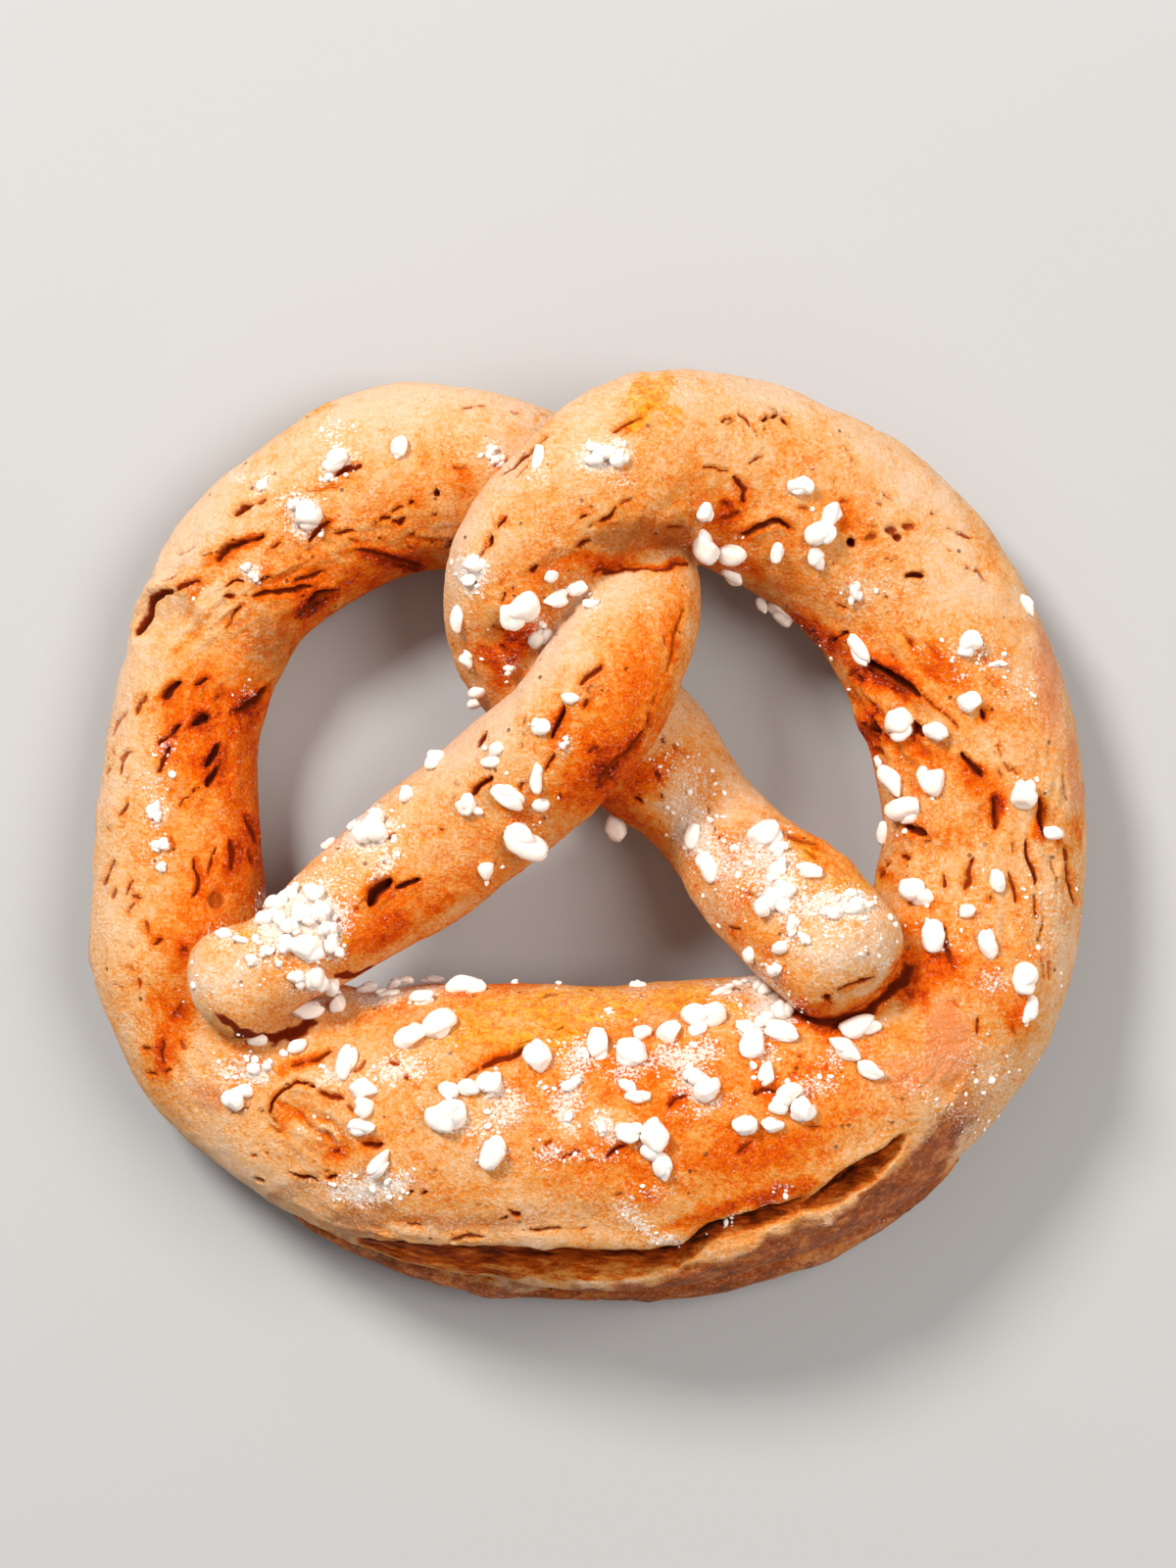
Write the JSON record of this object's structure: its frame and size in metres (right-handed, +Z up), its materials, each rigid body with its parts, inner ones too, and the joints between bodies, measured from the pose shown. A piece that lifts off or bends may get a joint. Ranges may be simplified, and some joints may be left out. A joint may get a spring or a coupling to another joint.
{
  "type": "soft pretzel",
  "caption": "Hand-twisted soft pretzel: one baked rope of dough with a thick split belly and two thin ends crossed twice and pressed on the belly, lying flat.",
  "frame": {"origin": "on the flat baked underside, below the middle of the bounding box", "axes": "+X along the pretzel's width, toward its thicker right arm; +Y from the belly to the two loops; +Z up out of the shown side"},
  "size_m": [0.125, 0.1164, 0.0321],
  "materials": {
    "baked_crust": null
  },
  "bodies": {
    "root": {"pretzel": "baked_crust"}
  },
  "joints": []
}
